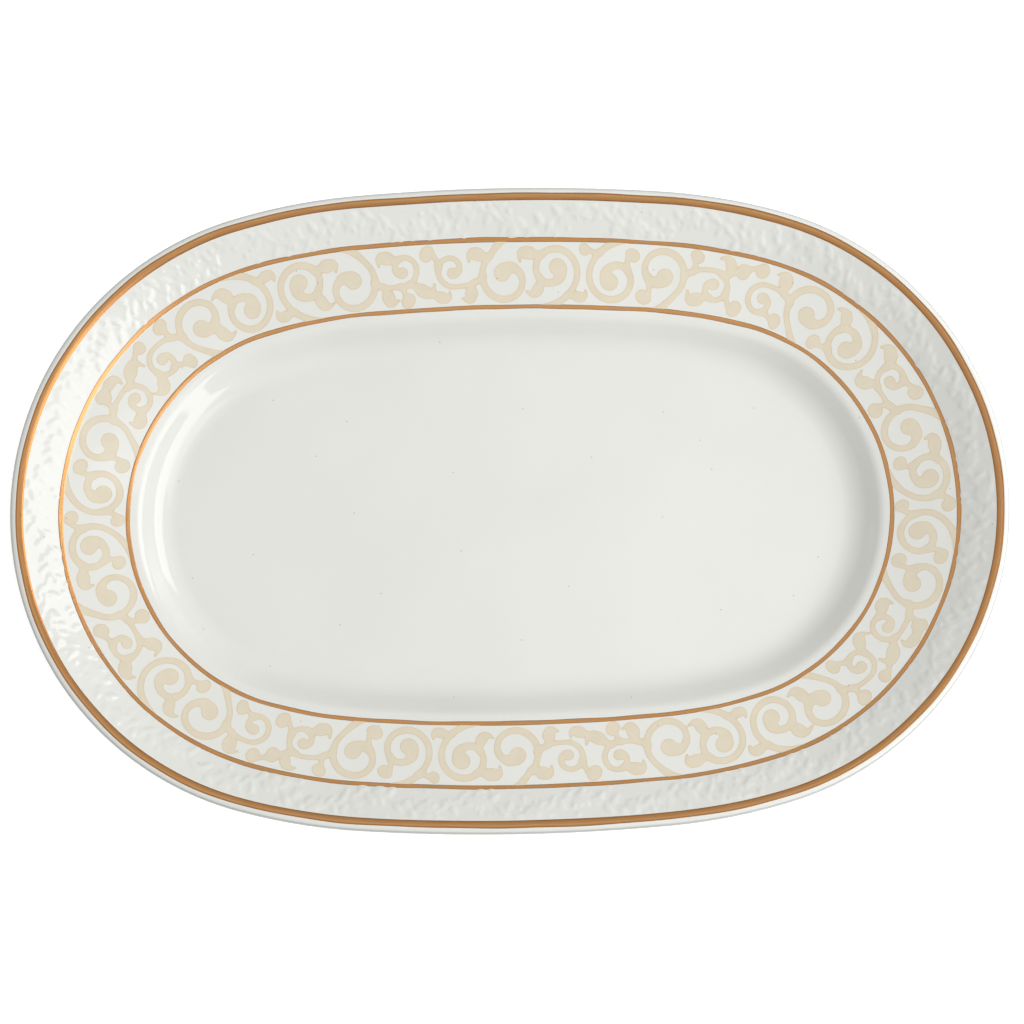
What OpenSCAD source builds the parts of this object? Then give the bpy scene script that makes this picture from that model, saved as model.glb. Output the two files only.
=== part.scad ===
// Oval porcelain serving platter with an embossed rim, a scrollwork border and three gold lines.
// Length runs along X, width along Y, and the ground face of the foot ring lies on Z = 0.
// A point of the section is [offset, height]: offset is measured inward from the outer edge.

/* [Outline] */
// Overall length, from tip to tip
overall_length = 350; // [320:2:400]
// Overall height, from the foot face to the top of the lip
overall_height = 32.5; // [30:0.5:38]
// How much the outline's radius grows from an end to a shoulder
shoulder_growth = 100; // [80:5:120]
// How much the outline's radius grows from a shoulder to a long side
side_growth = 500; // [400:50:600]

/* [Rim] */
// Radius of the outer edge, above and below
edge_radius = 1.7; // [1.2:0.1:2]
// Radius of the rounded top of the lip
lip_radius = 5.4; // [4:0.1:7]
// Slope of the embossed band inside the lip, in degrees
relief_slope = 32; // [26:1:36]
// Slope of the scrollwork band, in degrees
scroll_slope = 16; // [12:1:20]
// Offset of the bend between the embossed band and the scrollwork band
rim_bend_offset = 17.15; // [15:0.05:19]
// Offset of the underside's bend below the rim
under_bend_offset = 15.5; // [14:0.1:17]
// Slope of the underside of the scrollwork band, in degrees
under_rim_slope = 15.5; // [13:0.5:18]

/* [Well] */
// Height of the well's floor above the foot face
well_height = 8.2; // [7.5:0.1:9]
// Offset at which the flat floor of the well begins
well_offset = 57; // [55:0.5:58]
// Slope of the steep part of the cove round the well, in degrees
cove_slope = 45; // [38:1:50]
// Radius of the hollow of the cove
cove_radius = 12; // [9:0.5:14]
// Radius of the rounded crest above the cove
crest_radius = 6; // [4:0.5:8]
// Slope of the underside below the cove, in degrees
under_cove_slope = 43; // [40:1:46]
// Offset at which the underside turns down towards the foot
under_cove_offset = 42; // [41:0.5:43]

/* [Foot] */
// Offset of the foot ring's outer wall at the foot face
foot_offset = 52; // [51:0.5:53]
// Width of the foot ring at its tip
foot_width = 4; // [3.5:0.1:5]
// Height of the base's underside above the foot face
base_height = 3.4; // [3:0.1:4]
// Lean of the foot ring's walls, over their whole height
foot_taper = 0.6; // [0.3:0.1:1]
// Height at which the glaze stops on the foot ring's walls
bare_height = 0.6; // [0.4:0.1:1]

/* [Coatings] */
// Thickness of the glaze
glaze_thickness = 0.3; // [0.25:0.05:0.4]
// Thickness given to the gold and to the printed border
print_thickness = 0.25; // [0.2:0.05:0.3]
// Offset of the middle of the broad gold band on the lip
rim_gold_offset = 3.4; // [3.2:0.1:3.8]
// Width of the broad gold band
rim_gold_width = 2.6; // [2:0.1:2.8]
// Width of each thin gold line
gold_line_width = 1.5; // [1:0.1:2]
// Offset of the middle of the inner gold line
inner_line_offset = 40.15; // [39:0.05:41]
// Bare gap between the printed border and each gold line
border_gap = 0.3; // [0.2:0.1:1]

/* [Hidden] */
$fn = 256;

bisque_color = "#DEDAD0";
glaze_color = "#E9E9E4";
print_color = "#E4D8C0";
gold_color = "#B57A3E";

// Length of a straight stretch left between two arcs that almost meet
short_straight = 0.2;
// Most that a chord of a rounded corner may stand off its arc
chord_error = 0.03;
// Steps to a millimetre that a section's points are rounded to
grid = 100;
// Radii of the rounded corners on the underside
under_bend_radius = 10;
under_cove_radius = 8;
foot_root_radius = 2.5;
base_corner_radius = 2;
// Bevel beside the ground face of the foot
foot_bevel = 0.4;

// The outline is an oval of eight arcs: two ends, four shoulders and two long sides. Arcs meet on
// these two directions, whose sines and cosines are exact decimals, so every centre is exact too.
end_ray = [0.28, 0.96];
side_ray = [0.07584, 0.99712];
end_radius = overall_length / 2 - shoulder_growth * end_ray[0] - side_growth * side_ray[0];
shoulder_radius = end_radius + shoulder_growth;
side_radius = shoulder_radius + side_growth;
end_centre = [overall_length / 2 - end_radius, 0];
shoulder_centre = end_centre - shoulder_growth * end_ray;
side_centre = shoulder_centre - side_growth * side_ray;
half_width = side_centre[1] + side_radius;

// A section ends on the axis of an end arc, and just past the middle line of the dish elsewhere
end_core = end_radius;
flank_core = half_width + 5;

// Sizes that are sure to reach past the whole dish
reach = 1000;
depth = 100;

function direction(angle) = [cos(angle), sin(angle)];

// Corners of the finished section, from the well up over the lip and down the underside
lip_flat = 0.3;
lip_corner_offset = edge_radius + lip_flat + lip_radius * tan(relief_slope / 2);
bend_height = overall_height - (rim_bend_offset - lip_corner_offset) * tan(relief_slope);
cove_corner_offset = well_offset - cove_radius * tan(cove_slope / 2);
crest_offset = (cove_corner_offset * tan(cove_slope) + well_height - bend_height
    - rim_bend_offset * tan(scroll_slope)) / (tan(cove_slope) - tan(scroll_slope));
crest_height = well_height + (cove_corner_offset - crest_offset) * tan(cove_slope);
edge_corner_height = overall_height - edge_radius - short_straight
    - edge_radius / tan(45 + relief_slope / 2);
under_bend_height = edge_corner_height - under_bend_offset * tan(relief_slope);
under_cove_height = under_bend_height
    - (under_cove_offset - under_bend_offset) * tan(under_rim_slope);
foot_root_offset = foot_offset - foot_taper;
foot_root_height = under_cove_height
    - (foot_root_offset - under_cove_offset) * tan(under_cove_slope);
foot_inner_offset = foot_offset + foot_width;

// The corners of each glazed surface, as [offset, height, radius of rounding], where core is the
// offset at which the section ends inside the flat floor
function outside_corners(core) = [
    [core, well_height, 0],
    [cove_corner_offset, well_height, cove_radius],
    [crest_offset, crest_height, crest_radius],
    [rim_bend_offset, bend_height, 0],
    [lip_corner_offset, overall_height, lip_radius],
    [0, overall_height, edge_radius],
    [0, edge_corner_height, edge_radius],
    [under_bend_offset, under_bend_height, under_bend_radius],
    [under_cove_offset, under_cove_height, under_cove_radius],
    [foot_root_offset, foot_root_height, foot_root_radius],
    [foot_offset, bare_height, 0]
];
function base_corners(core) = [
    [foot_inner_offset, bare_height, 0],
    [foot_inner_offset + foot_taper, base_height, base_corner_radius],
    [core, base_height, 0]
];

function unit(v) = v / norm(v);
function spot(corner) = [corner[0], corner[1]];
function last_index(points) = len(points) - 1;
function heading(v) = atan2(v[1], v[0]);
function wrapped(angle) = angle - 360 * round(angle / 360);

// A corner of a path, as its own point or as an arc that touches both of its sides
function rounded_corner(before, corner, after, radius) =
    radius == 0 ? [corner] :
    let (
        back = unit(before - corner),
        ahead = unit(after - corner),
        half_angle = acos(back * ahead) / 2,
        centre = corner + unit(back + ahead) * radius / sin(half_angle),
        start = heading(corner + back * radius / tan(half_angle) - centre),
        finish = heading(corner + ahead * radius / tan(half_angle) - centre),
        turn = wrapped(finish - start),
        step = 2 * acos(1 - chord_error / radius),
        steps = ceil(abs(turn) / step)
    )
    [for (i = [0:steps]) centre + radius * direction(start + turn * i / steps)];

function on_grid(points) = [for (p = points) [for (v = p) round(v * grid) / grid]];

function rounded_path(corners) = [
    for (i = [0:last_index(corners)])
        each rounded_corner(
            spot(corners[max(i - 1, 0)]),
            spot(corners[i]),
            spot(corners[min(i + 1, last_index(corners))]),
            corners[i][2])
];

function left_normal(from, to) = let (d = unit(to - from)) [-d[1], d[0]];

// The point of a parallel path that belongs to one point of a path
function parallel_point(points, i, distance) =
    let (
        last = last_index(points),
        before = left_normal(points[max(i - 1, 0)], points[max(i, 1)]),
        after = left_normal(points[min(i, last - 1)], points[min(i + 1, last)]),
        middle = unit(before + after)
    )
    points[i] + middle * distance / (middle * before);

function parallel_path(points, distance) =
    [for (i = [0:last_index(points)]) parallel_point(points, i, distance)];

function reversed(points) = [for (i = [last_index(points):-1:0]) points[i]];

function between(a, b, offset) = a + (b - a) * (offset - a[0]) / (b[0] - a[0]);

// The stretch of a path between two offsets, on its way outward from the well to the lip
function stretch(points, inner, outer) = [
    for (i = [0:last_index(points) - 1])
        let (a = points[i], b = points[i + 1])
        each [
            if (a[0] > inner && b[0] <= inner) between(a, b, inner),
            if (a[0] < inner && a[0] > outer && b[0] < a[0]) a,
            if (a[0] > outer && b[0] <= outer && b[0] < a[0]) between(a, b, outer)
        ]
];

// The glazed surfaces, and the surfaces of the porcelain under the glaze
function outside_path(core) = rounded_path(outside_corners(core));
function base_path(core) = rounded_path(base_corners(core));
function bisque_outside(core) = parallel_path(outside_path(core), glaze_thickness);
function bisque_base(core) = parallel_path(base_path(core), glaze_thickness);

function bisque_section(core) = concat(
    bisque_outside(core),
    [[foot_offset + glaze_thickness + foot_bevel, 0]],
    [[foot_inner_offset - glaze_thickness - foot_bevel, 0]],
    bisque_base(core)
);
function glaze_section(core) = concat(outside_path(core), reversed(bisque_outside(core)));
function base_glaze_section(core) = concat(base_path(core), reversed(bisque_base(core)));

// A coating that lies on the glaze between two offsets
function coating_section(inner, outer) =
    let (surface = stretch(outside_path(flank_core), inner, outer))
    concat(surface, reversed(parallel_path(surface, -print_thickness)));

function line_section(offset, width) = coating_section(offset + width / 2, offset - width / 2);

scroll_section = coating_section(
    inner_line_offset - gold_line_width / 2 - border_gap,
    rim_bend_offset + gold_line_width / 2 + border_gap
);

// A section swept about a centre, kept between two directions and to the +Y side if it is cut
module sector(section, centre, radius, from, to, cut) {
    intersection() {
        translate(centre)
            rotate_extrude()
                polygon([for (p = on_grid(section)) [radius - p[0], p[1]]]);
        translate([centre[0], centre[1], -depth])
            linear_extrude(height = 2 * depth)
                polygon([[0, 0], reach * from, reach * to]);
        if (cut)
            translate([-reach, 0, -depth])
                cube([2 * reach, reach, 2 * depth]);
    }
}

// The sectors of one quarter of the dish that belong to its shoulder and its long side
module flank_sectors(section) {
    sector(section, shoulder_centre, shoulder_radius, end_ray, side_ray, true);
    mirror([1, 0, 0])
        sector(section, shoulder_centre, shoulder_radius, end_ray, side_ray, true);
    sector(section, side_centre, side_radius, side_ray, [-side_ray[0], side_ray[1]], true);
}

module end_sector(section) {
    sector(section, end_centre, end_radius, [end_ray[0], -end_ray[1]], end_ray, false);
}

// The whole oval, from a section for its ends and a section for its flanks
module oval_solid(end_section, flank_section) {
    end_sector(end_section);
    mirror([1, 0, 0])
        end_sector(end_section);
    flank_sectors(flank_section);
    mirror([0, 1, 0])
        flank_sectors(flank_section);
}

// The part of a solid on the +Y side
module back_half() {
    intersection() {
        children();
        translate([-reach, 0, -depth])
            cube([2 * reach, reach, 2 * depth]);
    }
}

// Fired porcelain: well, cove, rim and foot ring in one piece
module bisque_body() {
    color(bisque_color)
        oval_solid(bisque_section(end_core), bisque_section(flank_core));
}

// Glaze over the top, the edge and the underside as far as the foot ring
module glaze_coat() {
    color(glaze_color)
        oval_solid(glaze_section(end_core), glaze_section(flank_core));
}

// Glaze over the recess inside the foot ring
module base_glaze() {
    color(glaze_color)
        oval_solid(base_glaze_section(end_core), base_glaze_section(flank_core));
}

// Printed border sheet on the -Y half of the rim
module scroll_transfer_front() {
    color(print_color)
        mirror([0, 1, 0])
            back_half()
                oval_solid(scroll_section, scroll_section);
}

// Printed border sheet on the +Y half of the rim
module scroll_transfer_back() {
    color(print_color)
        back_half()
            oval_solid(scroll_section, scroll_section);
}

// A gold line round the whole rim
module gold_line(offset, width) {
    section = line_section(offset, width);
    color(gold_color)
        oval_solid(section, section);
}

module rim_gold_band() {
    gold_line(rim_gold_offset, rim_gold_width);
}

module outer_gold_line() {
    gold_line(rim_bend_offset, gold_line_width);
}

module inner_gold_line() {
    gold_line(inner_line_offset, gold_line_width);
}

bisque_body();
glaze_coat();
base_glaze();
scroll_transfer_front();
scroll_transfer_back();
rim_gold_band();
outer_gold_line();
inner_gold_line();
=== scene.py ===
import math

import bpy
import numpy as np
from mathutils import Matrix, Vector


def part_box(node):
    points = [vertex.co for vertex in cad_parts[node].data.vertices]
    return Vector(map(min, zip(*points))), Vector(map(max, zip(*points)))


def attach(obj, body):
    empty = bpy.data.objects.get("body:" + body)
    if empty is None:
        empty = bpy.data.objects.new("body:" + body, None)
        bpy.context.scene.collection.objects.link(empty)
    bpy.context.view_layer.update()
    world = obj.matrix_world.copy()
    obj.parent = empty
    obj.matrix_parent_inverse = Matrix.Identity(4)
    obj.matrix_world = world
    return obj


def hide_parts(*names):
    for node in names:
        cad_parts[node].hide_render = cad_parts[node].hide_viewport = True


MM = 0.001
TAU = 2 * math.pi

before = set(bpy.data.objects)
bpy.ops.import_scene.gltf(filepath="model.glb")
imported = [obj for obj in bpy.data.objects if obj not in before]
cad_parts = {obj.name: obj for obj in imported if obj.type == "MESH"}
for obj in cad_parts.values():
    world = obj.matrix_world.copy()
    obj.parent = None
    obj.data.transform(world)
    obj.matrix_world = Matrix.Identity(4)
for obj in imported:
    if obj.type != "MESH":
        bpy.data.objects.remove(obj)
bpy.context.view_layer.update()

# ---------------------------------------------------------------------------------------------------
# Driving dimensions, in millimetres unless they say otherwise. An inset is measured inward from the
# outer edge, and a height from the foot face.
# ---------------------------------------------------------------------------------------------------

GLAZE_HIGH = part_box("glaze_coat")[1] / MM
HALF_LENGTH = GLAZE_HIGH.x
TOP_HEIGHT = GLAZE_HIGH.z

# The outline: an oval of eight arcs that meet on two rays
SHOULDER_GROWTH = 100
SIDE_GROWTH = 500
END_RAY = np.array([0.28, 0.96])
SIDE_RAY = np.array([0.07584, 0.99712])

# The section
EDGE_RADIUS = 1.7
LIP_RADIUS = 5.4
LIP_FLAT = 0.3
RELIEF_SLOPE = math.radians(32)
SCROLL_SLOPE = math.radians(16)
BEND_INSET = 17.15
BEND_RADIUS = 9
WELL_INSET = 57
WELL_HEIGHT = 8.2
COVE_SLOPE = math.radians(45)
COVE_RADIUS = 12
CREST_RADIUS = 6
UNDER_BEND_INSET = 15.5
UNDER_RIM_SLOPE = math.radians(15.5)
UNDER_BEND_RADIUS = 10
UNDER_COVE_INSET = 42
UNDER_COVE_SLOPE = math.radians(43)
UNDER_COVE_RADIUS = 8
FOOT_INSET = 52
FOOT_WIDTH = 4
FOOT_TAPER = 0.6
FOOT_ROOT_RADIUS = 2.5
BASE_HEIGHT = 3.4
BASE_CORNER_RADIUS = 2
BARE_HEIGHT = 0.6
GLAZE_THICKNESS = 0.3
# Where the flat grid of the well's floor meets the swept slope
FLOOR_INSET = WELL_INSET + 3
# Insets along which the stations of each swept piece are evenly spaced
WELL_REFERENCE = 40
UNDERSIDE_REFERENCE = 10
RECESS_REFERENCE = 56

# Heights between which shade is painted into the glaze colour round the outermost edge, to hold its outline,
# and how far the painted shade fades below and above
SHADE_LOW = TOP_HEIGHT - EDGE_RADIUS - 0.7
SHADE_HIGH = TOP_HEIGHT - EDGE_RADIUS + 1.15
SHADE_FADE_LOW = 0.5
SHADE_FADE_HIGH = 0.35
# Brings heights in metres into the 0 to 1 of a colour ramp
HEIGHT_SCALE = 20

# Pinholes in the glaze: the size of the cell that holds one, and its radius, in metres
PINHOLE_CELL = 0.034
PINHOLE_RADIUS = 0.00026

# Gold
RIM_GOLD = (3.4, 2.6)
OUTER_LINE = (BEND_INSET, 1.5)
INNER_LINE = (40.15, 1.5)
GOLD_PROUD = 0.09
GOLD_SUNK = 0.12
# Scales of the brush streaks along and across a gold line
STREAKS = (90, 5200, 1)
# Brings the share across a line, -0.001 to 0.001 in the UV map's V, to the 0 to 1 of a colour ramp
ACROSS_SCALE = 500
ACROSS_MIDDLE = 0.5

# Printed scrollwork
PRINT_PROUD = 0.045
PRINT_SUNK = 0.08
PRINT_OUTLINE = 0.34
PRINT_SHRINK = 0.13
PRINT_STEP = 0.46
BAND_INNER = INNER_LINE[0] - 0.5
BAND_OUTER = OUTER_LINE[0] + 0.5


# ---------------------------------------------------------------------------------------------------
# Outline and section
# ---------------------------------------------------------------------------------------------------

def ray_angle(ray):
    return math.atan2(ray[1], ray[0])


class Oval:
    """Eight tangent arcs. All the insets of the outline share their centres."""

    def __init__(self):
        growth_x = SHOULDER_GROWTH * END_RAY[0] + SIDE_GROWTH * SIDE_RAY[0]
        end_radius = HALF_LENGTH - growth_x
        shoulder_radius = end_radius + SHOULDER_GROWTH
        side_radius = shoulder_radius + SIDE_GROWTH
        end = np.array([HALF_LENGTH - end_radius, 0.0])
        shoulder = end - SHOULDER_GROWTH * END_RAY
        side = shoulder - SIDE_GROWTH * SIDE_RAY
        first = ray_angle(END_RAY)
        second = ray_angle(SIDE_RAY)
        quarter = [
            (end, end_radius, 0.0, first),
            (shoulder, shoulder_radius, first, second),
            (side * [0, 1], side_radius, second, math.pi / 2),
        ]
        self.arcs = []
        for turn in range(4):
            flip = np.array([(1, 1), (-1, 1), (-1, -1), (1, -1)][turn])
            for centre, radius, start, finish in quarter if turn % 2 == 0 else quarter[::-1]:
                if turn % 2:
                    start, finish = math.pi - finish, math.pi - start
                offset = math.pi * (turn // 2)
                self.arcs.append((centre * flip, radius, start + offset, finish + offset))

    def length(self, inset):
        return sum((radius - inset) * (b - a) for _, radius, a, b in self.arcs)

    def follow(self, travel, inset):
        """Centres, rays and radii at fractions of the way round, counter-clockwise from the +X tip.
        Fractions are measured on the outline at an inset."""
        ends = np.cumsum([(radius - inset) * (b - a) for _, radius, a, b in self.arcs])
        way = np.asarray(travel) % 1.0 * ends[-1]
        which = np.minimum(np.searchsorted(ends, way, side="right"), len(self.arcs) - 1)
        starts = np.concatenate([[0], ends[:-1]])
        radii = np.array([radius for _, radius, _, _ in self.arcs])[which]
        centres = np.array([centre for centre, _, _, _ in self.arcs])[which]
        angles = np.array([a for _, _, a, _ in self.arcs])[which]
        angles = angles + (way - starts[which]) / (radii - inset)
        return centres, np.stack([np.cos(angles), np.sin(angles)], 1), radii


OVAL = Oval()


def rounded_path(corners, chord=0.004):
    """Points of a path whose corners [inset, height, radius] are rounded by arcs."""
    points = []
    for i, (x, y, radius) in enumerate(corners):
        here = np.array([x, y], float)
        if radius == 0:
            points.append(here)
            continue
        back = np.array(corners[i - 1][:2]) - here
        ahead = np.array(corners[i + 1][:2]) - here
        back /= np.linalg.norm(back)
        ahead /= np.linalg.norm(ahead)
        half = math.acos(float(np.clip(back @ ahead, -1, 1))) / 2
        middle = (back + ahead) / np.linalg.norm(back + ahead)
        centre = here + middle * radius / math.sin(half)
        first = here + back * radius / math.tan(half) - centre
        last = here + ahead * radius / math.tan(half) - centre
        start = math.atan2(first[1], first[0])
        turn = math.remainder(math.atan2(last[1], last[0]) - start, TAU)
        steps = math.ceil(abs(turn) / (2 * math.acos(1 - chord / radius)))
        for k in range(steps + 1):
            angle = start + turn * k / steps
            points.append(centre + radius * np.array([math.cos(angle), math.sin(angle)]))
    return np.array(points)


def section_corners():
    """Corners of the glazed section, from the well over the lip to the foot, and of the base."""
    lip_inset = EDGE_RADIUS + LIP_FLAT + LIP_RADIUS * math.tan(RELIEF_SLOPE / 2)
    bend_height = TOP_HEIGHT - (BEND_INSET - lip_inset) * math.tan(RELIEF_SLOPE)
    cove_inset = WELL_INSET - COVE_RADIUS * math.tan(COVE_SLOPE / 2)
    crest_inset = (
        cove_inset * math.tan(COVE_SLOPE) + WELL_HEIGHT - bend_height
        - BEND_INSET * math.tan(SCROLL_SLOPE)
    ) / (math.tan(COVE_SLOPE) - math.tan(SCROLL_SLOPE))
    crest_height = WELL_HEIGHT + (cove_inset - crest_inset) * math.tan(COVE_SLOPE)
    edge_height = TOP_HEIGHT - EDGE_RADIUS - 0.2
    edge_height -= EDGE_RADIUS / math.tan(math.pi / 4 + RELIEF_SLOPE / 2)
    under_bend_height = edge_height - UNDER_BEND_INSET * math.tan(RELIEF_SLOPE)
    under_cove_height = under_bend_height
    under_cove_height -= (UNDER_COVE_INSET - UNDER_BEND_INSET) * math.tan(UNDER_RIM_SLOPE)
    root_inset = FOOT_INSET - FOOT_TAPER
    root_height = under_cove_height - (root_inset - UNDER_COVE_INSET) * math.tan(UNDER_COVE_SLOPE)
    top = [
        (FLOOR_INSET, WELL_HEIGHT, 0),
        (cove_inset, WELL_HEIGHT, COVE_RADIUS),
        (crest_inset, crest_height, CREST_RADIUS),
        (BEND_INSET, bend_height, BEND_RADIUS),
        (lip_inset, TOP_HEIGHT, LIP_RADIUS),
        (EDGE_RADIUS + LIP_FLAT / 2, TOP_HEIGHT, 0),
    ]
    outside = [
        (EDGE_RADIUS + LIP_FLAT / 2, TOP_HEIGHT, 0),
        (0, TOP_HEIGHT, EDGE_RADIUS),
        (0, edge_height, EDGE_RADIUS),
        (UNDER_BEND_INSET, under_bend_height, UNDER_BEND_RADIUS),
        (UNDER_COVE_INSET, under_cove_height, UNDER_COVE_RADIUS),
        (root_inset, root_height, FOOT_ROOT_RADIUS),
        (FOOT_INSET, BARE_HEIGHT, 0),
    ]
    base = [
        (FOOT_INSET + FOOT_WIDTH, BARE_HEIGHT, 0),
        (FOOT_INSET + FOOT_WIDTH + FOOT_TAPER, BASE_HEIGHT, BASE_CORNER_RADIUS),
        (FOOT_INSET + FOOT_WIDTH + 6, BASE_HEIGHT, 0),
    ]
    return top, outside, base


TOP_CORNERS, OUTSIDE_CORNERS, BASE_CORNERS = section_corners()
TOP_PATH = rounded_path(TOP_CORNERS)


def path_normals(path):
    """Unit normals of a section path, on its left as the path runs."""
    run = np.gradient(path, axis=0)
    run /= np.linalg.norm(run, axis=1)[:, None]
    return np.stack([-run[:, 1], run[:, 0]], 1)


TOP_NORMALS = -path_normals(TOP_PATH)


def top_surface(inset):
    """Heights and normals (inset part, height part) of the finished top surface at some insets."""
    order = np.argsort(TOP_PATH[:, 0])
    x = TOP_PATH[order, 0]
    height = np.interp(inset, x, TOP_PATH[order, 1])
    normal = np.stack([np.interp(inset, x, TOP_NORMALS[order, k]) for k in (0, 1)], -1)
    return height, normal / np.linalg.norm(normal, axis=-1)[..., None]


def spread(path, spacing):
    """The same path with points evenly spaced, no further apart than a spacing."""
    steps = np.linalg.norm(np.diff(path, axis=0), axis=1)
    way = np.concatenate([[0], np.cumsum(steps)])
    even = np.linspace(0, way[-1], math.ceil(way[-1] / spacing) + 1)
    return np.stack([np.interp(even, way, path[:, k]) for k in (0, 1)], 1)


def place(stations, inset, height):
    """Positions in metres of points at an inset and a height on some stations of the oval."""
    centres, rays, radii = stations
    reach = (radii - inset)[:, None]
    flat = centres + rays * reach
    return np.column_stack([flat, np.broadcast_to(height, len(flat))]) * MM


# ---------------------------------------------------------------------------------------------------
# Meshes
# ---------------------------------------------------------------------------------------------------

def mesh_object(name, points, faces, uv=None, sharp=None):
    mesh = bpy.data.meshes.new(name)
    mesh.from_pydata(points.tolist(), [], faces)
    mesh.polygons.foreach_set("use_smooth", [True] * len(mesh.polygons))
    if uv is not None:
        layer = mesh.uv_layers.new(name="band")
        corner_points = np.zeros(len(mesh.loops), int)
        mesh.loops.foreach_get("vertex_index", corner_points)
        layer.data.foreach_set("uv", uv[corner_points].ravel())
    if sharp is not None:
        mesh.set_sharp_from_angle(angle=math.radians(sharp))
    mesh.update()
    piece = bpy.data.objects.new(name, mesh)
    bpy.context.scene.collection.objects.link(piece)
    return piece


def ring_faces(rows, columns):
    """Quads between closed rows, and between the last row and the first."""
    faces = []
    for r in range(rows):
        a = r * columns
        b = (r + 1) % rows * columns
        for c in range(columns):
            d = (c + 1) % columns
            faces.append((a + c, b + c, b + d, a + d))
    return faces


def disc_faces(rows, columns):
    """Quads between closed rows of a shell, and a fan at each of its two middle points."""
    faces = []
    for r in range(rows - 1):
        a = r * columns
        b = a + columns
        for c in range(columns):
            d = (c + 1) % columns
            faces.append((a + c, b + c, b + d, a + d))
    first = rows * columns
    last = (rows - 1) * columns
    for c in range(columns):
        d = (c + 1) % columns
        faces.append((c, d, first))
        faces.append((last + d, last + c, first + 1))
    return faces


def band_uv(columns, rows, length):
    """Texture places in metres: along the band, then across it."""
    u = np.tile(np.arange(columns) / columns * length * MM, len(rows))
    v = np.repeat(np.asarray(rows) * MM, columns)
    return np.stack([u, v], 1)


def dress(piece, material, slot, *nodes):
    piece.data.materials.append(material)
    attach(piece, "root")
    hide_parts(*nodes)
    return piece


# ---------------------------------------------------------------------------------------------------
# Materials
# ---------------------------------------------------------------------------------------------------

def new_material(name, color, roughness, metallic=0.0, ior=1.5):
    material = bpy.data.materials.new(name)
    material.use_nodes = True
    shader = material.node_tree.nodes["Principled BSDF"]
    shader.inputs["Base Color"].default_value = (*color, 1)
    shader.inputs["Roughness"].default_value = roughness
    shader.inputs["Metallic"].default_value = metallic
    shader.inputs["IOR"].default_value = ior
    return material, material.node_tree, shader


def add_node(tree, kind, **inputs):
    node = tree.nodes.new(kind)
    for name, value in inputs.items():
        node.inputs[name.replace("_", " ")].default_value = value
    return node


def noise(tree, vector, scale, detail=2.0, roughness=0.5):
    node = add_node(tree, "ShaderNodeTexNoise", Scale=scale, Detail=detail, Roughness=roughness)
    tree.links.new(vector, node.inputs["Vector"])
    return node.outputs["Fac"]


def color_ramp(tree, factor, stops):
    node = tree.nodes.new("ShaderNodeValToRGB")
    ramp = node.color_ramp
    while len(ramp.elements) < len(stops):
        ramp.elements.new(1.0)
    for element, (position, color) in zip(ramp.elements, stops):
        element.position = position
        element.color = (*color, 1)
    tree.links.new(factor, node.inputs["Fac"])
    return node.outputs["Color"]


def bump(tree, shader, height, strength, distance):
    node = add_node(tree, "ShaderNodeBump", Strength=strength, Distance=distance)
    tree.links.new(height, node.inputs["Height"])
    tree.links.new(node.outputs["Normal"], shader.inputs["Normal"])


def object_place(tree):
    return tree.nodes.new("ShaderNodeTexCoord").outputs["Object"]


def stretched(tree, vector, scale):
    node = tree.nodes.new("ShaderNodeMapping")
    node.inputs["Scale"].default_value = scale
    tree.links.new(vector, node.inputs["Vector"])
    return node.outputs["Vector"]


def multiplied(tree, first, second):
    node = tree.nodes.new("ShaderNodeMix")
    node.data_type = "RGBA"
    node.blend_type = "MULTIPLY"
    node.inputs["Factor"].default_value = 1
    tree.links.new(first, node.inputs[6])
    tree.links.new(second, node.inputs[7])
    return node.outputs[2]


def specks(tree, vector, cell, radius):
    """White, with one tiny dark pinhole in each cell, seen from above."""
    node = add_node(tree, "ShaderNodeTexVoronoi", Scale=1 / cell)
    node.voronoi_dimensions = "2D"
    tree.links.new(vector, node.inputs["Vector"])
    return color_ramp(tree, node.outputs["Distance"],
                      [(radius / cell * 0.5, (0.52, 0.5, 0.46)), (radius / cell, (1, 1, 1))])


def glaze_material(name, painted_edge_shade):
    """White glaze: a hint of cloud in its colour, tiny pinholes, and the faint waviness of fired glass.
    A painted shade multiplies the glaze colour round the outermost edge, to hold its outline."""
    material, tree, shader = new_material(name, (0.70, 0.705, 0.668), 0.04)
    where = object_place(tree)
    cloud = noise(tree, where, 26, 3)
    color = color_ramp(tree, cloud, [(0.3, (0.688, 0.693, 0.654)), (0.7, (0.71, 0.715, 0.679))])
    color = multiplied(tree, color, specks(tree, where, PINHOLE_CELL, PINHOLE_RADIUS))
    apart = tree.nodes.new("ShaderNodeSeparateXYZ")
    tree.links.new(stretched(tree, where, (1, 1, HEIGHT_SCALE)), apart.inputs["Vector"])
    # Painted shade round the outermost edge, set by height
    shade = color_ramp(tree, apart.outputs["Z"], [
        ((SHADE_LOW - SHADE_FADE_LOW) * MM * HEIGHT_SCALE, (1, 1, 1)),
        (SHADE_LOW * MM * HEIGHT_SCALE, painted_edge_shade),
        (SHADE_HIGH * MM * HEIGHT_SCALE, painted_edge_shade),
        ((SHADE_HIGH + SHADE_FADE_HIGH) * MM * HEIGHT_SCALE, (1, 1, 1)),
    ])
    color = multiplied(tree, color, shade)
    tree.links.new(color, shader.inputs["Base Color"])
    rough = color_ramp(tree, noise(tree, where, 90, 2), [(0.3, (0.03,) * 3), (0.8, (0.07,) * 3)])
    tree.links.new(rough, shader.inputs["Roughness"])
    bump(tree, shader, noise(tree, where, 45, 2), 0.12, 0.0006)
    return material


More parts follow.
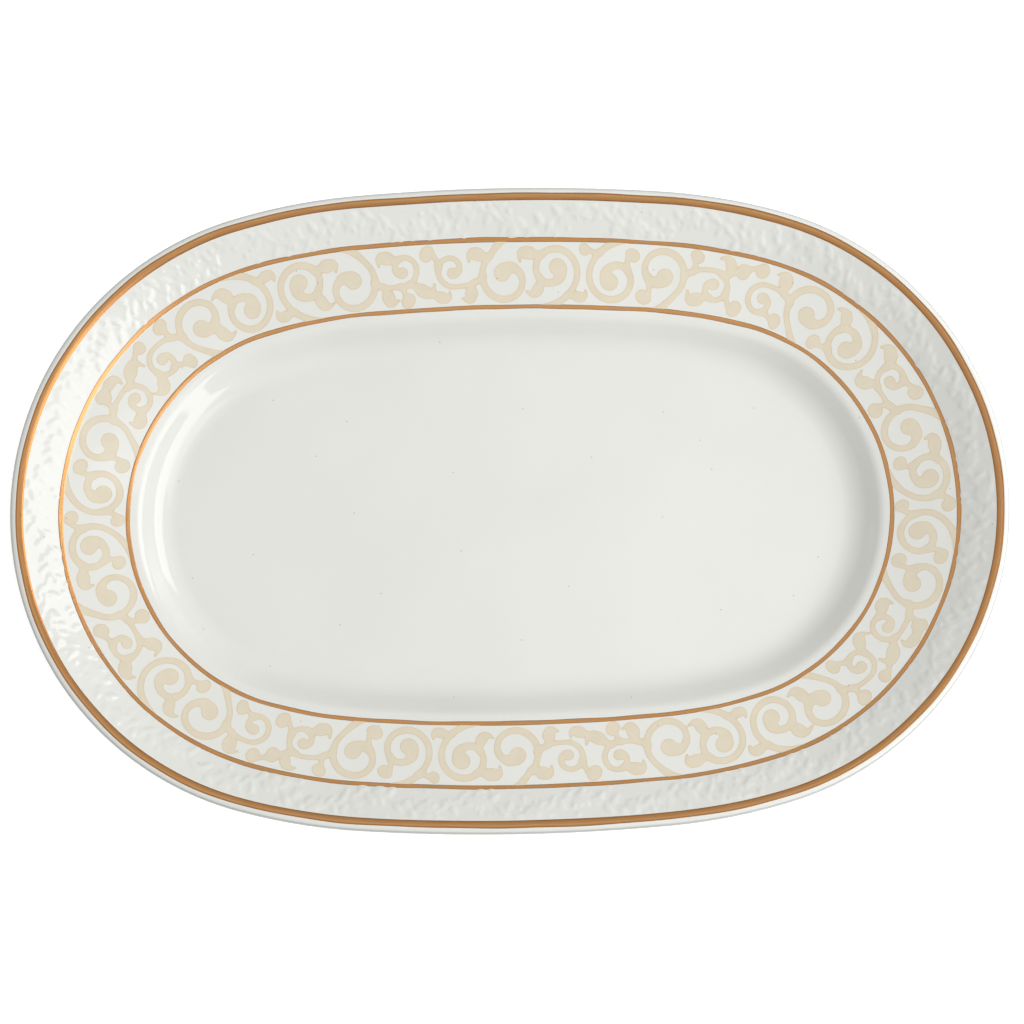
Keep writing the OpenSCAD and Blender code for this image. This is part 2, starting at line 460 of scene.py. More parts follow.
def print_material(name, low, high):
    """Fired print: cream enamel under the same gloss, with slightly uneven ink."""
    material, tree, shader = new_material(name, high, 0.12)
    where = object_place(tree)
    color = color_ramp(tree, noise(tree, where, 160, 4, 0.6), [(0.3, low), (0.7, high)])
    color = multiplied(tree, color, specks(tree, where, PINHOLE_CELL, PINHOLE_RADIUS))
    tree.links.new(color, shader.inputs["Base Color"])
    bump(tree, shader, noise(tree, where, 45, 2), 0.12, 0.0006)
    return material


def gold_material(name, across):
    """Fired gold: brush streaks that run along the line, and painted shade that changes across it."""
    material, tree, shader = new_material(name, (0.74, 0.39, 0.17), 0.23, metallic=1.0)
    band = tree.nodes.new("ShaderNodeUVMap")
    band.uv_map = "band"
    streaks = noise(tree, stretched(tree, band.outputs["UV"], STREAKS), 1, 4, 0.6)
    color = color_ramp(tree, streaks, [
        (0.25, (0.60, 0.30, 0.11)),
        (0.55, (0.74, 0.39, 0.16)),
        (0.8, (0.84, 0.475, 0.21)),
    ])
    apart = tree.nodes.new("ShaderNodeSeparateXYZ")
    tree.links.new(stretched(tree, band.outputs["UV"], (1, ACROSS_SCALE, 1)), apart.inputs["Vector"])
    side = tree.nodes.new("ShaderNodeMath")
    side.operation = "ADD"
    side.inputs[1].default_value = ACROSS_MIDDLE
    tree.links.new(apart.outputs["Y"], side.inputs[0])
    # Painted shade across the line, from the ramp that is given
    shade = color_ramp(tree, side.outputs["Value"], across)
    tree.links.new(multiplied(tree, color, shade), shader.inputs["Base Color"])
    rough = color_ramp(tree, streaks, [(0.2, (0.17,) * 3), (0.8, (0.29,) * 3)])
    tree.links.new(rough, shader.inputs["Roughness"])
    bump(tree, shader, streaks, 0.2, 0.0001)
    return material


def bisque_material():
    """Bare ground porcelain on the foot: matte, slightly warm, with dark specks and fine grit."""
    material, tree, shader = new_material("bare_bisque", (0.66, 0.63, 0.56), 0.85)
    where = object_place(tree)
    grit = noise(tree, where, 1400, 3, 0.7)
    color = color_ramp(tree, grit, [
        (0.22, (0.30, 0.26, 0.21)),
        (0.34, (0.64, 0.61, 0.54)),
        (0.8, (0.74, 0.72, 0.66)),
    ])
    tree.links.new(color, shader.inputs["Base Color"])
    bump(tree, shader, grit, 0.5, 0.0002)
    return material


# ---------------------------------------------------------------------------------------------------
# Glazed porcelain
# ---------------------------------------------------------------------------------------------------

def waviness(points, seed, wavelength, amplitude, waves=9):
    """A gentle seeded swell over points in metres, in millimetres."""
    random = np.random.default_rng(seed)
    swell = np.zeros(len(points))
    for _ in range(waves):
        heading = random.uniform(0, TAU)
        length = wavelength * random.uniform(0.7, 1.6)
        phase = random.uniform(0, TAU)
        along = points[:, 0] * math.cos(heading) + points[:, 1] * math.sin(heading)
        swell += np.sin(along / (length * MM) * TAU + phase)
    return swell * amplitude / math.sqrt(waves)


def shell_disc(name, columns, edge_rows, middle, lower_rows, lower_middle):
    """A closed dished shell from rows of points: upper middle to edge, then back underneath."""
    rows = np.concatenate(edge_rows + lower_rows)
    points = np.concatenate([rows, [middle], [lower_middle]])
    return mesh_object(name, points, disc_faces(len(edge_rows) + len(lower_rows), columns))


def flat_rows(stations, inset, height, shares):
    """Rows that shrink a flat oval towards its middle by some shares of its size."""
    outer = place(stations, inset, height)
    return [outer * [share, share, 1] for share in shares]


def build_well():
    """Glaze of the well, the cove and the scrollwork band: one dished shell."""
    columns = 720
    stations = OVAL.follow(np.arange(columns) / columns, WELL_REFERENCE)
    shares = np.linspace(0.05, 0.97, 24)
    floor = flat_rows(stations, FLOOR_INSET, WELL_HEIGHT, shares)
    slope = spread(TOP_PATH[TOP_PATH[:, 0] >= BEND_INSET], 0.6)
    rows = floor + [place(stations, inset, height) for inset, height in slope]
    height, normal = top_surface(BEND_INSET)
    under = [place(stations, BEND_INSET - normal[0] * GLAZE_THICKNESS,
                   height - normal[1] * GLAZE_THICKNESS)]
    under += [place(stations, inset, high - GLAZE_THICKNESS) for inset, high in slope[::-8]]
    under += flat_rows(stations, FLOOR_INSET, WELL_HEIGHT - GLAZE_THICKNESS, [0.5, 0.1])
    for share, row in zip(shares, floor):
        row[:, 2] += waviness(row, 3, 60, 0.06) * MM * (1 - share ** 4)
    middle = np.array([0, 0, WELL_HEIGHT * MM])
    lower = np.array([0, 0, (WELL_HEIGHT - GLAZE_THICKNESS) * MM])
    return shell_disc("well_glaze", columns, rows, middle, under, lower)


def build_ring(name, columns, section, reference):
    """A closed ring swept round the oval from a closed section of (inset, height)."""
    stations = OVAL.follow(np.arange(columns) / columns, reference)
    rows = [place(stations, inset, height) for inset, height in section]
    across = np.concatenate([[0], np.cumsum(np.linalg.norm(np.diff(section, axis=0), axis=1))])
    uv = band_uv(columns, across, OVAL.length(reference))
    return mesh_object(name, np.concatenate(rows), ring_faces(len(rows), columns), uv)


def build_underside():
    """Glaze of the lip, the outer edge and the underside, down to the bare foot."""
    inner = RIM_GOLD[0]
    lip = TOP_PATH[TOP_PATH[:, 0] <= inner]
    outside = np.concatenate([lip[:-1], rounded_path(OUTSIDE_CORNERS)])
    outside = spread(outside, 0.6)
    inside = outside + path_normals(outside) * GLAZE_THICKNESS
    section = np.concatenate([outside, inside[::-3]])
    return build_ring("rim_underside_glaze", 600, section, UNDERSIDE_REFERENCE)


def build_recess():
    """Glaze inside the foot ring, over the recessed base."""
    columns = 480
    stations = OVAL.follow(np.arange(columns) / columns, RECESS_REFERENCE)
    path = spread(rounded_path(BASE_CORNERS), 0.35)
    inside = path + path_normals(path) * GLAZE_THICKNESS
    wall = [place(stations, inset, height) for inset, height in path]
    upper = [place(stations, inset, height) for inset, height in inside]
    inset = BASE_CORNERS[-1][0]
    shares = np.linspace(0.96, 0.06, 16)
    low = flat_rows(stations, inset, BASE_HEIGHT, shares)
    high = flat_rows(stations, inset, BASE_HEIGHT + GLAZE_THICKNESS, shares[::5])
    for row in low:
        row[:, 2] += waviness(row, 5, 50, 0.05) * MM
    middle = np.array([0, 0, BASE_HEIGHT * MM])
    above = np.array([0, 0, (BASE_HEIGHT + GLAZE_THICKNESS) * MM])
    return shell_disc("foot_recess_glaze", columns, high[::-1] + upper[::-1] + wall + low,
                      above, [], middle)


# ---------------------------------------------------------------------------------------------------
# Embossed band
# ---------------------------------------------------------------------------------------------------

RELIEF_WIDTH = BEND_INSET - RIM_GOLD[0]
RELIEF_MIDDLE = 10
RELIEF_LENGTH = OVAL.length(RELIEF_MIDDLE)
RELIEF_COLUMNS = 2400
RELIEF_ROWS = 37
RELIEF_DEPTH = 1.5
RELIEF_SOFTENING = 3
LOOSE_BERRIES = 70
# Where the relief fades in from the gold line and out to the rim gold, in millimetres across it
FADE_IN_START = 0.3
FADE_IN_WIDTH = 0.9
FADE_OUT_END = 12.3
FADE_OUT_WIDTH = 1.2


class Relief:
    """Low moulded ornament round the rim: curved stems with leaves, flowers and berries."""

    def __init__(self, seed):
        self.random = np.random.default_rng(seed)
        self.marks = []
        u = 0.0
        side = 1
        while u < RELIEF_LENGTH - 14:
            span = self.random.uniform(15, 23)
            self.spray(u, span, side)
            u += span + self.random.uniform(-2, 3)
            side = -side
        for _ in range(LOOSE_BERRIES):
            self.dot(self.random.uniform(0, RELIEF_LENGTH), self.random.uniform(2, RELIEF_WIDTH - 3),
                     self.random.uniform(0.7, 1.3), self.random.uniform(0.1, 0.2))

    def dot(self, u, v, radius, rise):
        self.marks.append((u, v, 0, radius, 0, rise))

    def leaf(self, u, v, lean, length, width, rise):
        self.marks.append((u, v, lean, length, width, rise))

    def spray(self, u, span, side):
        """A curved stem with leaves on both sides, a flower at its end and loose berries."""
        pick = self.random
        middle = RELIEF_WIDTH / 2 + pick.uniform(-0.8, 0.8)
        arc = side * pick.uniform(2.0, 3.4)
        for k in range(46):
            t = k / 45
            self.dot(u + span * t, middle + arc * math.cos(math.pi * 1.3 * t), 0.62, 0.17)
        for k in range(7):
            t = (k + 0.5) / 7
            way = side if k % 2 else -side
            root = middle + arc * math.cos(math.pi * 1.3 * t)
            lean = way * pick.uniform(0.7, 1.2)
            reach = pick.uniform(1.9, 2.7)
            self.leaf(u + span * t + reach * math.cos(lean), root + reach * math.sin(lean), lean,
                      reach, pick.uniform(1.0, 1.5), pick.uniform(0.2, 0.3))
        centre_u = u + span
        centre_v = middle + arc * math.cos(math.pi * 1.3) - side * 0.4
        petals = int(pick.integers(5, 8))
        for k in range(petals):
            turn = TAU * k / petals + pick.uniform(0, 0.3)
            self.leaf(centre_u + 1.9 * math.cos(turn), centre_v + 1.9 * math.sin(turn), turn, 1.7, 1.05, 0.26)
        self.dot(centre_u, centre_v, 0.95, 0.32)
        for _ in range(9):
            self.dot(u + pick.uniform(0, span), pick.uniform(0.8, RELIEF_WIDTH - 1.6),
                     pick.uniform(0.6, 1.05), pick.uniform(0.18, 0.28))

    def height(self, u, v):
        """Height in millimetres over a grid of places round and across the rim."""
        total = np.zeros((len(u), len(v)))
        step = RELIEF_LENGTH / len(u)
        for x, y, lean, long, wide, rise in self.marks:
            count = math.ceil((long + 1) / step)
            index = np.arange(round(x / step) - count, round(x / step) + count + 1)
            du = (index * step - x)[:, None]
            dv = (v - y)[None, :]
            if wide:
                along = (du * math.cos(lean) + dv * math.sin(lean)) / long
                aside = dv * math.cos(lean) - du * math.sin(lean)
                half = wide * np.clip(1 - along ** 2, 0.001, 1) * (1 - 0.35 * along)
                mark = rise * np.clip(1 - (aside / half) ** 2, 0, 1) ** 0.75 * (np.abs(along) < 1)
                mark = mark * (1 - 0.4 * np.exp(-(aside / 0.25) ** 2) * (along < 0.7))
            else:
                mark = rise * np.clip(1 - (np.hypot(du, dv) / long) ** 2, 0, 1) ** 0.8
            index = index % len(u)
            total[index] = np.maximum(total[index], mark)
        return total


def soften(grid, passes):
    """Blurs a height grid that wraps along its first side."""
    for _ in range(passes):
        grid = (np.roll(grid, 1, 0) + 2 * grid + np.roll(grid, -1, 0)) / 4
        edge = np.pad(grid, ((0, 0), (1, 1)), mode="edge")
        grid = (edge[:, :-2] + 2 * edge[:, 1:-1] + edge[:, 2:]) / 4
    return grid


def build_relief():
    """The embossed band: a closed ring of glaze with its ornament in real relief."""
    travel = np.arange(RELIEF_COLUMNS) / RELIEF_COLUMNS
    insets = np.linspace(BEND_INSET, RIM_GOLD[0], RELIEF_ROWS)
    across = BEND_INSET - insets
    rise = soften(Relief(11).height(travel * RELIEF_LENGTH, across), RELIEF_SOFTENING)
    fade_in = np.clip((across - FADE_IN_START) / FADE_IN_WIDTH, 0, 1)
    fade_out = np.clip((FADE_OUT_END - across) / FADE_OUT_WIDTH, 0, 1)
    rise *= RELIEF_DEPTH * fade_in * fade_out
    heights, normals = top_surface(insets)
    centres, rays, radii = OVAL.follow(travel, RELIEF_MIDDLE)
    rows = []
    for r, inset in enumerate(insets):
        out = (radii - inset - normals[r, 0] * rise[:, r])[:, None]
        rows.append(np.column_stack([centres + rays * out, heights[r] + normals[r, 1] * rise[:, r]]))
    for r in (RELIEF_ROWS - 1, 0):
        out = (radii - insets[r] + normals[r, 0] * GLAZE_THICKNESS)[:, None]
        low = np.full(RELIEF_COLUMNS, heights[r] - normals[r, 1] * GLAZE_THICKNESS)
        rows.append(np.column_stack([centres + rays * out, low]))
    return mesh_object("embossed_band", np.concatenate(rows) * MM, ring_faces(len(rows), RELIEF_COLUMNS),
                       sharp=60)


# ---------------------------------------------------------------------------------------------------
# Gold lines
# ---------------------------------------------------------------------------------------------------

def build_gold(name, middle, width, seed, columns=2400):
    """A gold line with a low crown and slightly uneven edges."""
    travel = np.arange(columns) / columns
    stations = OVAL.follow(travel, middle)
    centres, rays, radii = stations
    random = np.random.default_rng(seed)
    points_across = 9
    share = np.linspace(-1, 1, points_across)
    length = OVAL.length(middle)
    drift = np.zeros(columns)
    swell = np.zeros(columns)
    for waves in (3, 5, 8, 13, 21, 34):
        drift += np.cos(TAU * (waves * travel + random.uniform())) * 0.035
        swell += np.cos(TAU * (waves * travel + random.uniform())) * 0.025
    rows = []
    across = []
    for s in share:
        inset = middle + drift - s * (width / 2 + swell)
        heights, normals = top_surface(inset)
        crown = GOLD_PROUD * (1 - 0.75 * s ** 4)
        out = (radii - inset - normals[:, 0] * crown)[:, None]
        rows.append(np.column_stack([centres + rays * out, heights + normals[:, 1] * crown]) * MM)
        across.append(s)
    for s in (1, -1):
        inset = middle + drift - s * (width / 2 + swell)
        heights, normals = top_surface(inset)
        out = (radii - inset + normals[:, 0] * GOLD_SUNK)[:, None]
        rows.append(np.column_stack([centres + rays * out, heights - normals[:, 1] * GOLD_SUNK]) * MM)
        across.append(s)
    uv = band_uv(columns, across, length)
    faces = ring_faces(len(rows), columns)
    return mesh_object(name, np.concatenate(rows), faces, uv, sharp=50)


# ---------------------------------------------------------------------------------------------------
# Printed scrollwork
# ---------------------------------------------------------------------------------------------------

BAND_WIDTH = BAND_INNER - BAND_OUTER
BAND_MIDDLE = (BAND_INNER + BAND_OUTER) / 2
PRINT_LENGTH = OVAL.length(BAND_MIDDLE) / 2

# Each group of three curls is mirrored along the band, across it, or both
GROUP_TURNS = ((1, 1), (1, -1), (-1, -1), (1, 1), (-1, 1), (1, -1), (-1, -1))
# Half widths along a stroke, from its root to its tip
WIDE_CURL = (1.2, 1.3, 1.4, 1.3, 1.25, 1.5, 2.3, 3.1)
SMALL_CURL = (1.0, 1.1, 1.15, 1.1, 1.1, 1.2, 1.6, 2.1)
# Open ground wider than this gets a leaf or a bud
OPEN_GROUND = 2.95
FILLET = 1.3


def bezier(p0, p1, p2, p3, count=28):
    t = np.linspace(0, 1, count)[:, None]
    return (1 - t) ** 3 * p0 + 3 * (1 - t) ** 2 * t * p1 + 3 * (1 - t) * t ** 2 * p2 + t ** 3 * p3


def half_widths(count, marks):
    """Half widths along a stroke, eased between marks that are spread evenly along it."""
    place_on = np.linspace(0, len(marks) - 1, count)
    i = np.minimum(place_on.astype(int), len(marks) - 2)
    ease = (1 - np.cos((place_on - i) * math.pi)) / 2
    marks = np.array(marks, float)
    return marks[i] * (1 - ease) + marks[i + 1] * ease


def direction(degrees):
    angle = math.radians(degrees)
    return np.array([math.cos(angle), math.sin(angle)])


def curl(foot, heading, middle, start, turn, outer, inner, stem, marks, count=76):
    """A stem from a foot, then a spiral about a middle that tightens as it turns, and its widths."""
    t = np.linspace(0, 1, count)
    angle = np.radians(start + turn * t)
    radius = outer + (inner - outer) * t
    spiral = middle + np.stack([radius * np.cos(angle), radius * np.sin(angle)], 1)
    arrive = spiral[1] - spiral[0]
    arrive /= np.linalg.norm(arrive)
    reach = np.linalg.norm(spiral[0] - foot) * 0.38
    path = bezier(foot, foot + direction(heading) * reach, spiral[0] - arrive * reach, spiral[0])
    stem_marks = (stem, (stem + marks[0]) * 0.45, marks[0])
    halves = np.concatenate([half_widths(len(path), stem_marks)[:-1], half_widths(count, marks)])
    return np.concatenate([path[:-1], spiral]), halves


def rising_curl(x, random):
    """A wide curl that rises from the inner line and turns back over itself."""
    middle = np.array([x, 12.0 + random.uniform(-0.3, 0.3)])
    foot = np.array([x + random.uniform(7, 9), -2.5])
    return curl(foot, 160, middle, 218, -random.uniform(425, 450),
                9.3 * random.uniform(0.96, 1.03), 2.1, 1.9, WIDE_CURL)


def falling_curls(x, random):
    """A wide curl that falls from the outer line, and a smaller one that branches off its side."""
    middle = np.array([x, 9.3 + random.uniform(-0.2, 0.4)])
    foot = np.array([x - random.uniform(1, 4), BAND_WIDTH + 2.5])
    wide = curl(foot, -25, middle, 48, -random.uniform(348, 368),
                9.8 * random.uniform(0.97, 1.03), 2.6, 2.0, WIDE_CURL)
    root = middle + 8.6 * direction(6)
    middle = np.array([x + 19.2 + random.uniform(-0.6, 0.6), 13.3 + random.uniform(-0.6, 0.8)])
    small = curl(root, -40, middle, -100, random.uniform(355, 385), 6.2, 1.4, 1.2, SMALL_CURL)
    return wide, small


def blended(a, b):
    """The nearer of two distances, with a fillet where the two shapes meet."""
    mix = np.clip(1 - np.abs(a - b) / FILLET, 0, 1)
    return np.minimum(a, b) - mix * mix * FILLET / 4


class ScrollSheet:
    """One printed sheet of scrollwork, as the distance to its strokes over a grid that repeats."""

    def __init__(self, seed):
        self.random = np.random.default_rng(seed)
        self.columns = round(PRINT_LENGTH / PRINT_STEP)
        self.step = PRINT_LENGTH / self.columns
        self.across = np.linspace(0, BAND_WIDTH, round(BAND_WIDTH / PRINT_STEP) + 1)
        self.field = np.full((self.columns, len(self.across)), 9.0)
        self.spine = np.zeros((0, 2))
        self.way = np.zeros((0, 2))
        self.thick = np.zeros(0)
        self.place_curls()
        self.fill_ground()

    def draw(self, points, halves):
        pad = halves.max() + 6
        low = math.floor((points[:, 0].min() - pad) / self.step)
        high = math.ceil((points[:, 0].max() + pad) / self.step)
        index = np.arange(low, high + 1)
        near = stroke_distance((index * self.step)[:, None], self.across[None, :], points, halves)
        for row, column in zip(near, index % self.columns):
            self.field[column] = blended(self.field[column], row)
        way = np.gradient(points, axis=0)
        way /= np.linalg.norm(way, axis=1)[:, None]
        for shift in (-PRINT_LENGTH, 0, PRINT_LENGTH):
            self.spine = np.concatenate([self.spine, points + [shift, 0]])
            self.way = np.concatenate([self.way, way])
            self.thick = np.concatenate([self.thick, halves])

    def place_curls(self):
        pitch = PRINT_LENGTH / len(GROUP_TURNS)
        for i, (along, over) in enumerate(GROUP_TURNS):
            for points, halves in (rising_curl(11, self.random), *falling_curls(27, self.random)):
                if along < 0:
                    points = [pitch, 0] + points * [-1, 1]
                if over < 0:
                    points = [0, BAND_WIDTH] + points * [1, -1]
                self.draw(points + [i * pitch, 0], halves)

    def room_at(self, point):
        if not 0 <= point[1] <= BAND_WIDTH:
            return -5
        return self.field[round(point[0] / self.step) % self.columns, round(point[1] / self.across[1])]

    def fill_ground(self):
        """Grows leaves and buds into the open ground until it is evenly filled."""
        border = np.minimum(self.across, BAND_WIDTH - self.across)[None, :] + 1.1
        while True:
            clear = np.minimum(self.field, border)
            i, j = np.unravel_index(clear.argmax(), clear.shape)
            room = clear[i, j]
            if room < OPEN_GROUND:
                break
            goal = np.array([i * self.step, self.across[j]])
            inside = (self.spine[:, 1] > 0.5) & (self.spine[:, 1] < BAND_WIDTH - 0.5)
            away = goal - self.spine
            far = np.linalg.norm(away, axis=1)
            against = 1 - (away * self.way).sum(1) / far
            k = (far - self.thick + 2.2 * against + 100 * ~inside).argmin()
            self.grow(self.spine[k], self.way[k], goal, room)

    def grow(self, base, way, goal, room):
        """A shoot from a base on another stroke to the open ground, curling to the freer side."""
        bulb = min(room - 1.35, 2.5)
        reach = np.linalg.norm(goal - base)
        towards = (goal - base) / reach
        leave = towards + way * 0.8
        leave /= np.linalg.norm(leave)
        left = np.array([-towards[1], towards[0]])
        rooms = [self.room_at(goal + (left * s + towards * 0.5) * room) for s in (1, -1)]
        swing = left if rooms[0] > rooms[1] else -left
        if self.random.uniform() < 0.45:
            path = bezier(base, base + leave * reach * 0.6,
                          goal + (towards * 0.75 - swing * 0.6) * bulb * 1.3,
                          goal + (swing * 0.35 - towards * 0.1) * bulb)
            marks = (1.25, 1.0, 1.2, bulb * 0.8, bulb)
        else:
            tail = goal + swing * room * 0.9 + towards * room * 0.1
            while self.room_at(tail) < 1 and np.linalg.norm(tail - goal) > room * 0.5:
                tail = tail + (goal - tail) * 0.1
            path = bezier(base, base + leave * reach * 0.5,
                          goal + (towards * 0.55 - swing * 0.3) * room, tail, 34)
            marks = (1.2, 1.0, bulb * 0.72, bulb, bulb * 0.92, bulb * 0.68, 1.05, 0.62)
        self.draw(path, half_widths(len(path), marks))


def stroke_distance(x, y, points, halves):
    """Distance from places to the outline of a round stroke, negative inside it."""
    best = np.full(np.broadcast(x, y).shape, 1e9)
    for a, b, half_a, half_b in zip(points[:-1], points[1:], halves[:-1], halves[1:]):
        run = b - a
        t = np.clip(((x - a[0]) * run[0] + (y - a[1]) * run[1]) / (run @ run), 0, 1)
        far = np.hypot(x - a[0] - t * run[0], y - a[1] - t * run[1])
        best = np.minimum(best, far - half_a - (half_b - half_a) * t)
    return best


def cut(points, values, triangles, level):
    """Cuts triangles along a level of their corner values: the ones below it, and the ones above."""
    below = values[triangles] < level
    count = below.sum(1)
    inside = [triangles[count == 3]]
    outside = [triangles[count == 0]]
    mixed = triangles[(count == 1) | (count == 2)]
    flags = below[(count == 1) | (count == 2)]
    odd = np.where(flags.sum(1) == 1, flags.argmax(1), (~flags).argmax(1))
    turned = mixed[np.arange(len(mixed))[:, None], (odd[:, None] + np.arange(3)) % 3]
    lone_below = flags.sum(1) == 1
    edges = np.concatenate([turned[:, [0, 1]], turned[:, [0, 2]]])
    edges.sort(axis=1)
    unique, inverse = np.unique(edges, axis=0, return_inverse=True)
    inverse = inverse.ravel()
    a, b = unique.T
    t = np.clip((level - values[a]) / (values[b] - values[a]), 0.02, 0.98)
    fresh = points[a] + (points[b] - points[a]) * t[:, None]
    base = len(points)
    points = np.concatenate([points, fresh])
    values = np.concatenate([values, np.full(len(fresh), level)])
    first = base + inverse[:len(turned)]
    second = base + inverse[len(turned):]
    tip = np.stack([turned[:, 0], first, second], 1)
    left = np.stack([first, turned[:, 1], turned[:, 2]], 1)
    right = np.stack([first, turned[:, 2], second], 1)
    inside += [tip[lone_below], left[~lone_below], right[~lone_below]]
    outside += [tip[~lone_below], left[lone_below], right[lone_below]]
    return points, values, np.concatenate(inside), np.concatenate(outside)


def print_sheet():
    """Flat print: places, and the triangles of its fill and of its outline."""
    scrolls = ScrollSheet(5)
    field = np.concatenate([scrolls.field, scrolls.field[:1]])
    columns, rows = field.shape
    grid_u, grid_v = np.meshgrid(np.arange(columns) * scrolls.step, scrolls.across, indexing="ij")
    points = np.stack([grid_u.ravel(), grid_v.ravel()], 1)
    corner = (np.arange(columns - 1)[:, None] * rows + np.arange(rows - 1)[None, :]).ravel()
    first = np.stack([corner, corner + rows, corner + rows + 1], 1)
    second = np.stack([corner, corner + rows + 1, corner + 1], 1)
    triangles = np.concatenate([first, second])
    points, values, inked, _ = cut(points, field.ravel(), triangles, -PRINT_SHRINK)
    points, values, fill, rim = cut(points, values, inked, -PRINT_SHRINK - PRINT_OUTLINE)
    return points, fill, rim


def boundary(triangles):
    """Directed edges that belong to one triangle only."""
    edges = np.concatenate([triangles[:, [0, 1]], triangles[:, [1, 2]], triangles[:, [2, 0]]])
    size = edges.max() + 1
    keys = edges[:, 0] * size + edges[:, 1]
    back = edges[:, 1] * size + edges[:, 0]
    return edges[~np.isin(keys, back)]


def build_print(name, sheet, first):
    """A printed sheet laid on the glaze of the scrollwork band, as a closed thin solid."""
    points, fill, rim = sheet
    triangles = np.concatenate([fill, rim])
    used, inverse = np.unique(triangles, return_inverse=True)
    triangles = inverse.reshape(-1, 3)
    points = points[used]
    count = len(points)
    travel = first + np.clip(points[:, 0] / PRINT_LENGTH, 0, 1 - 1e-9) / 2
    centres, rays, radii = OVAL.follow(travel, BAND_MIDDLE)
    insets = BAND_INNER - points[:, 1]
    heights, normals = top_surface(insets)
    layers = []
    for proud in (PRINT_PROUD, -PRINT_SUNK):
        out = (radii - insets - normals[:, 0] * proud)[:, None]
        layers.append(np.column_stack([centres + rays * out, heights + normals[:, 1] * proud]) * MM)
    walls = boundary(triangles)
    faces = triangles[:, ::-1].tolist()
    faces += (triangles + count).tolist()
    faces += [(a, b, b + count, a + count) for a, b in walls.tolist()]
    piece = mesh_object(name, np.concatenate(layers), faces, sharp=50)
    slots = np.zeros(len(faces), int)
    slots[len(fill):len(triangles)] = 1
    slots[2 * len(triangles):] = 1
    piece.data.polygons.foreach_set("material_index", slots)
    return piece


# ---------------------------------------------------------------------------------------------------
# Camera, light and floor
# ---------------------------------------------------------------------------------------------------

def add_camera():
    """A camera high in front of the platter, framed as in the photograph."""
    elevation = math.radians(81.12)
    distance = 1.6
    lens = 160.9
    roll = math.radians(-0.99)
    rim_plane = TOP_HEIGHT * MM - 0.0002
    aim_shift = Vector((0.00073, -0.00172, 0))
    towards = Vector((0, -math.cos(elevation), math.sin(elevation)))
    turn = towards.to_track_quat("Z", "Y").to_matrix()
    turn = turn @ Matrix.Rotation(roll, 3, "Z")
    aim = Vector((0, 0, rim_plane)) + turn @ aim_shift
    data = bpy.data.cameras.new("camera")
    data.lens = lens
    data.sensor_width = 36
    camera = bpy.data.objects.new("camera", data)
    camera.matrix_world = Matrix.Translation(aim + towards * distance) @ turn.to_4x4()
    bpy.context.scene.collection.objects.link(camera)
    bpy.context.scene.camera = camera


def add_area_light(name, azimuth, elevation, distance, size, power, mirrored=True):
    """A softbox that faces the platter. One that isn't mirrored lights the scene but doesn't show
    as a reflection."""
    data = bpy.data.lights.new(name, "AREA")
    data.shape = "RECTANGLE"
    data.size, data.size_y = size
    data.energy = power
    light = bpy.data.objects.new(name, data)
    azimuth, elevation = math.radians(azimuth), math.radians(elevation)
    away = Vector((math.cos(azimuth) * math.cos(elevation),
                   math.sin(azimuth) * math.cos(elevation), math.sin(elevation)))
    light.location = away * distance
    light.rotation_euler = away.to_track_quat("Z", "Y").to_euler()
    light.visible_glossy = mirrored
    bpy.context.scene.collection.objects.link(light)


def add_world(low, high):
    """An even studio that grows brighter from the horizon to the ceiling."""
    world = bpy.data.worlds.new("studio")
    world.use_nodes = True
    tree = world.node_tree
    where = tree.nodes.new("ShaderNodeTexCoord").outputs["Generated"]
    apart = tree.nodes.new("ShaderNodeSeparateXYZ")
    tree.links.new(where, apart.inputs["Vector"])
    glow = color_ramp(tree, apart.outputs["Z"], [
        (0, (low * 0.5,) * 3),
        (0.25, (low,) * 3),
        (0.95, (high,) * 3),
    ])
    tree.links.new(glow, tree.nodes["Background"].inputs["Color"])
    bpy.context.scene.world = world


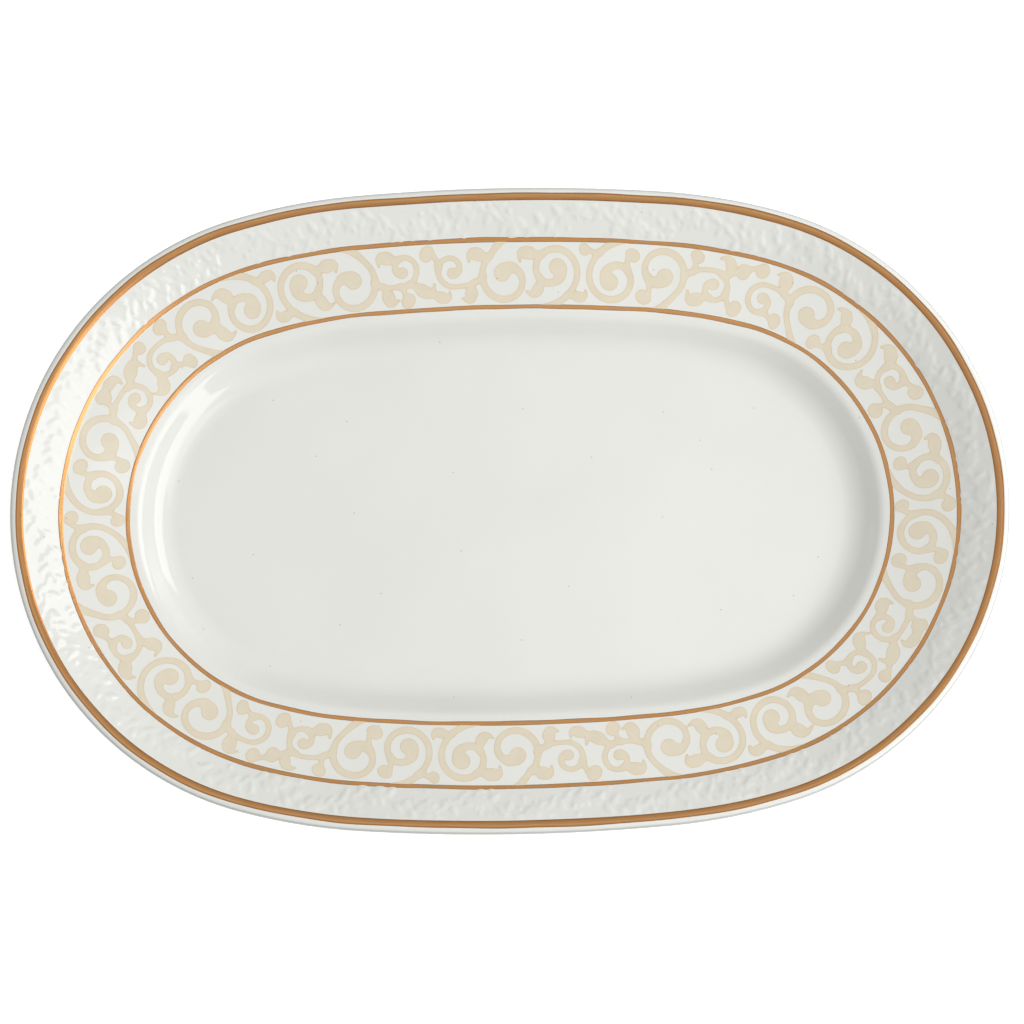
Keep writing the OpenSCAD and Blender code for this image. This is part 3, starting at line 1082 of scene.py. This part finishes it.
def add_floor():
    """A white paper floor that glows a little, so that it stays white in the picture."""
    size = 3.0
    glow = 0.32
    low = -0.0001
    points = np.array([(-size, -size, low), (size, -size, low), (size, size, low), (-size, size, low)])
    floor = mesh_object("floor", points, [(0, 1, 2, 3)])
    material, _, shader = new_material("paper", (0.97, 0.97, 0.97), 0.9)
    shader.inputs["Emission Color"].default_value = (1, 1, 1, 1)
    shader.inputs["Emission Strength"].default_value = glow
    floor.data.materials.append(material)


# ---------------------------------------------------------------------------------------------------
# The scene
# ---------------------------------------------------------------------------------------------------

bpy.context.scene.view_settings.view_transform = "Standard"
add_camera()
add_world(0.56, 0.72)
add_area_light("window", -8, 30, 0.95, (1.5, 0.6), 7.8)
add_area_light("window_top", -20, 60, 1.0, (0.45, 0.5), 0.8)
add_area_light("ceiling", 0, 90, 2.6, (2.4, 2.4), 10, mirrored=False)
add_floor()

glaze = glaze_material("white_glaze", (1, 1, 1))
# Glaze of the lip, with painted shade round its outermost edge
lip_glaze_painted_edge_shade = glaze_material("lip_glaze_painted_edge_shade", (0.6, 0.605, 0.61))
# Painted shade: darker colour at the edges of the gold lines; across the rim gold, darker at both edges and
# lightest on its outer half
painted_gold_edge_shade = (0.5, 0.4, 0.3)
plain = (1, 1, 1)
line_gold = gold_material("line_gold", [(0.04, painted_gold_edge_shade), (0.14, plain), (0.86, plain), (0.96, painted_gold_edge_shade)])
rim_gold = gold_material("rim_gold", [(0.03, painted_gold_edge_shade), (0.16, (0.76, 0.7, 0.64)), (0.5, (0.85, 0.82, 0.79)),
                                      (0.7, (0.98, 1.0, 1.03)), (0.86, (0.76, 0.72, 0.68)), (0.95, painted_gold_edge_shade)])
ink = print_material("cream_print", (0.645, 0.58, 0.45), (0.68, 0.615, 0.485))
ink_edge = print_material("cream_print_edge", (0.63, 0.52, 0.36), (0.675, 0.57, 0.405))

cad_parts["bisque_body"].data.materials.clear()
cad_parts["bisque_body"].data.materials.append(bisque_material())

dress(build_well(), glaze, "glaze", "glaze_coat")
dress(build_underside(), lip_glaze_painted_edge_shade, "glaze", "glaze_coat")
dress(build_recess(), glaze, "glaze", "base_glaze")
dress(build_relief(), glaze, "glaze", "glaze_coat")
dress(build_gold("rim_gold", *RIM_GOLD, seed=21), rim_gold, "gold", "rim_gold_band")
dress(build_gold("outer_gold", *OUTER_LINE, seed=22), line_gold, "gold", "outer_gold_line")
dress(build_gold("inner_gold", *INNER_LINE, seed=23), line_gold, "gold", "inner_gold_line")
sheet = print_sheet()
for side, first in (("back", 0.0), ("front", 0.5)):
    piece = build_print("scroll_print_" + side, sheet, first)
    dress(piece, ink, "print", "scroll_transfer_" + side)
    piece.data.materials.append(ink_edge)
